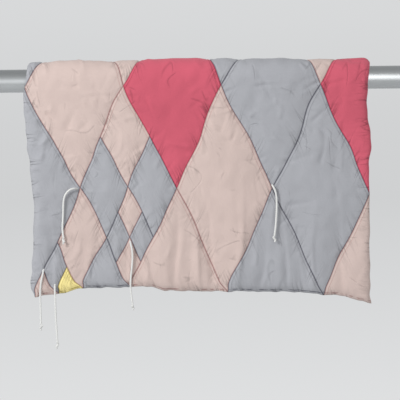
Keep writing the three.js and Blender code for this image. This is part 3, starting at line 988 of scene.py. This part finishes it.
def cord_cotton():
    """Off-white cotton cord: fine fibre bump over the modelled strands."""
    material, tree, shader = new_material("cord_cotton")
    place = put(tree, "ShaderNodeTexCoord").outputs["Object"]
    tone = noise_value(tree, place, Scale=160.0, Detail=2.0, Roughness=0.5)
    colour = mixed(tree, tone, linear(220, 220, 218), linear(233, 233, 230))
    tree.links.new(colour, shader.inputs["Base Color"])
    bumped(tree, shader, noise_value(tree, place, Scale=1400.0, Detail=3.0, Roughness=0.7), 0.5, 0.0003)
    set_shader(shader, {"Roughness": 0.85, "Sheen Weight": 0.3})
    return material


def satin_metal():
    """Satin steel: grain drawn along the tube in roughness and bump."""
    material, tree, shader = new_material("satin_metal")
    place = put(tree, "ShaderNodeTexCoord").outputs["Object"]
    grain = noise_value(tree, place, stretch=(6.0, 420.0, 420.0), Scale=1.0, Detail=4.0, Roughness=0.6)
    cloud = noise_value(tree, place, Scale=14.0, Detail=3.0, Roughness=0.5)
    rough = times_plus(tree, cloud, 0.06, times_plus(tree, grain, 0.10, 0.26))
    tree.links.new(rough, shader.inputs["Roughness"])
    bumped(tree, shader, grain, 0.12, 0.0002)
    set_shader(shader, {"Base Color": linear(222, 225, 226), "Metallic": 1.0})
    return material


def rail_piece():
    """Round rail: a profile with rounded end edges turned about the X axis, closed at its ends."""
    radius = RAIL["diameter"] / 2
    round_off = RAIL["chamfer"]
    bend = np.linspace(0.0, math.pi / 2, 5)
    left = np.stack([round_off * (1 - np.sin(bend)), radius - round_off * (1 - np.cos(bend))], axis=1)[::-1]
    rise = left[np.argsort(left[:, 1])]
    profile = np.vstack([rise, np.stack([RAIL["length"] - rise[::-1, 0], rise[::-1, 1]], axis=1)])
    angle = np.linspace(0.0, 2 * math.pi, 128, endpoint=False)
    x = np.repeat(profile[:, :1], len(angle), axis=1)
    rings = np.stack([x, profile[:, 1:] * np.cos(angle), -profile[:, 1:] * np.sin(angle)], axis=-1)
    return closed_tube("round_rail", rings, [(0, 0, 0), (RAIL["length"], 0, 0)])


CLOTHS = ["g", "b", "r", "y"]
# Each cloth's name and own colour; seam, a darker colour painted as shade in its seam lines and hem groove;
# its thread; how strong its creases are; and its mottle of random tone, raised for the raspberry so that it
# also paints the shade of broad soft folds
FINISHES = table(
    ("name", "cloth", "seam", "thread", "crease", "mottle"),
    ("grey_cotton", (172, 173, 178), (84, 84, 94), (140, 140, 147), 1.0, 0.12),
    ("blush_cotton", (211, 191, 184), (158, 116, 114), (198, 158, 153), 1.0, 0.12),
    ("raspberry_cotton", (209, 97, 115), (174, 38, 70), (178, 58, 82), 1.3, 0.36),
    ("yellow_cotton", (252, 235, 160), (160, 140, 66), (212, 192, 112), 1.0, 0.12),
    ("plain_underside", (196, 194, 192), (180, 178, 176), (180, 178, 176), 1.0, 0.12),
)

quilt = quilt_piece()
pieced_cotton = cloth_group()
for finish in FINISHES:
    quilt.data.materials.append(cotton(finish, pieced_cotton))
rail = rail_piece()
rail.data.materials.append(satin_metal())
for piece, node, slot in ((quilt, "quilt", "quilted_cotton"), (rail, "rail", "rail_metal")):
    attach(piece, "root")
    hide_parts(node)

cord_finish = cord_cotton()
for piece in ties:
    piece.data.materials.append(cord_finish)


FLOOR = {"middle": 0.5, "radius": 1.3, "height": -0.95, "sides": 96}


def make_floor():
    """Plain pale floor, a disc below the part."""
    sides = FLOOR["sides"]
    angle = np.linspace(0.0, 2 * math.pi, sides, endpoint=False)
    points = np.stack([FLOOR["middle"] + FLOOR["radius"] * np.cos(angle), FLOOR["radius"] * np.sin(angle),
                       np.full(sides, FLOOR["height"])], axis=1)
    floor = mesh_object("floor", points, [tuple(range(sides))], smooth=False)
    material, _, shader = new_material("pale_floor")
    set_shader(shader, {"Base Color": linear(196, 197, 198), "Roughness": 0.8})
    floor.data.materials.append(material)


def area_light(name, place, aim, size, power, in_metal=True):
    """Soft rectangular light at a place, turned to a point, mirrored in the rail or not."""
    data = bpy.data.lights.new(name, "AREA")
    data.shape = "RECTANGLE"
    data.size, data.size_y = size
    data.energy = power
    light = bpy.data.objects.new(name, data)
    light.location = place
    light.visible_glossy = in_metal
    light.rotation_euler = (Vector(aim) - Vector(place)).to_track_quat("-Z", "Y").to_euler()
    bpy.context.scene.collection.objects.link(light)


def sky_ramp(tree, height, rows):
    """Colour ramp over the height of a direction, from -1 straight down to 1 straight up."""
    ramp = tree.nodes.new("ShaderNodeValToRGB")
    tree.links.new(times_plus(tree, height, 0.5, 0.5), ramp.inputs["Fac"])
    stops = ramp.color_ramp.elements
    while len(stops) < len(rows):
        stops.new(0.5)
    for stop, (rise, value) in zip(stops, rows):
        stop.position = rise * 0.5 + 0.5
        stop.color = (value, value * 1.012, value * 1.022, 1)
    return ramp.outputs["Color"]


# Brightness of the surroundings at heights from -1 straight down to 1 straight up: as a fill on the cloth,
# as the rail mirrors them and as the camera sees them
FILL = [(-1.0, 0.34), (-0.5, 0.36), (-0.1, 0.46), (0.1, 0.62), (0.4, 0.72), (0.7, 0.5), (1.0, 0.30)]
MIRRORED = [(-1.0, 0.38), (-0.6, 0.38), (-0.3, 0.76), (-0.08, 1.0), (0.03, 0.92), (0.28, 0.56), (0.6, 0.38),
            (1.0, 0.29)]
# Where the camera sees the surroundings they are darker at eye height, behind the quilt: painted shade
BACKDROP = [(-1.0, 0.72), (-0.085, 0.73), (-0.055, 0.695), (0.0, 0.625), (0.03, 0.635), (0.083, 0.685),
            (1.0, 0.69)]


def make_world():
    """Pale surroundings: where the camera sees them, a little darker at eye height as painted shade behind
    the quilt, a bright band at eye height in the rail, and a soft fill on the cloth that is darker overhead."""
    world = bpy.data.worlds.new("studio")
    world.use_nodes = True
    tree = world.node_tree
    tree.nodes.clear()
    output = tree.nodes.new("ShaderNodeOutputWorld")
    ray = tree.nodes.new("ShaderNodeLightPath")
    place = tree.nodes.new("ShaderNodeTexCoord")
    split = tree.nodes.new("ShaderNodeSeparateXYZ")
    tree.links.new(place.outputs["Generated"], split.inputs["Vector"])
    shaders = []
    for rows in (FILL, MIRRORED, BACKDROP):
        shader = tree.nodes.new("ShaderNodeBackground")
        tree.links.new(sky_ramp(tree, split.outputs["Z"], rows), shader.inputs["Color"])
        shaders.append(shader.outputs["Background"])
    result = shaders[0]
    for kind, shader in zip(("Is Glossy Ray", "Is Camera Ray"), shaders[1:]):
        which = tree.nodes.new("ShaderNodeMixShader")
        tree.links.new(ray.outputs[kind], which.inputs["Fac"])
        tree.links.new(result, which.inputs[1])
        tree.links.new(shader, which.inputs[2])
        result = which.outputs["Shader"]
    tree.links.new(result, output.inputs["Surface"])
    bpy.context.scene.world = world


make_floor()
make_world()
area_light("key", (-1.7, -2.2, 1.1), (0.5, 0.0, -0.2), (0.8, 0.8), 64.0, in_metal=False)
area_light("behind", (1.3, 2.8, -0.25), (0.5, 0.0, -0.25), (1.2, 1.2), 38.0, in_metal=False)
area_light("glint", (1.15, -2.4, 0.15), (0.9, 0.0, 0.0), (0.9, 1.6), 6.8)

bpy.context.scene.view_settings.view_transform = "Standard"
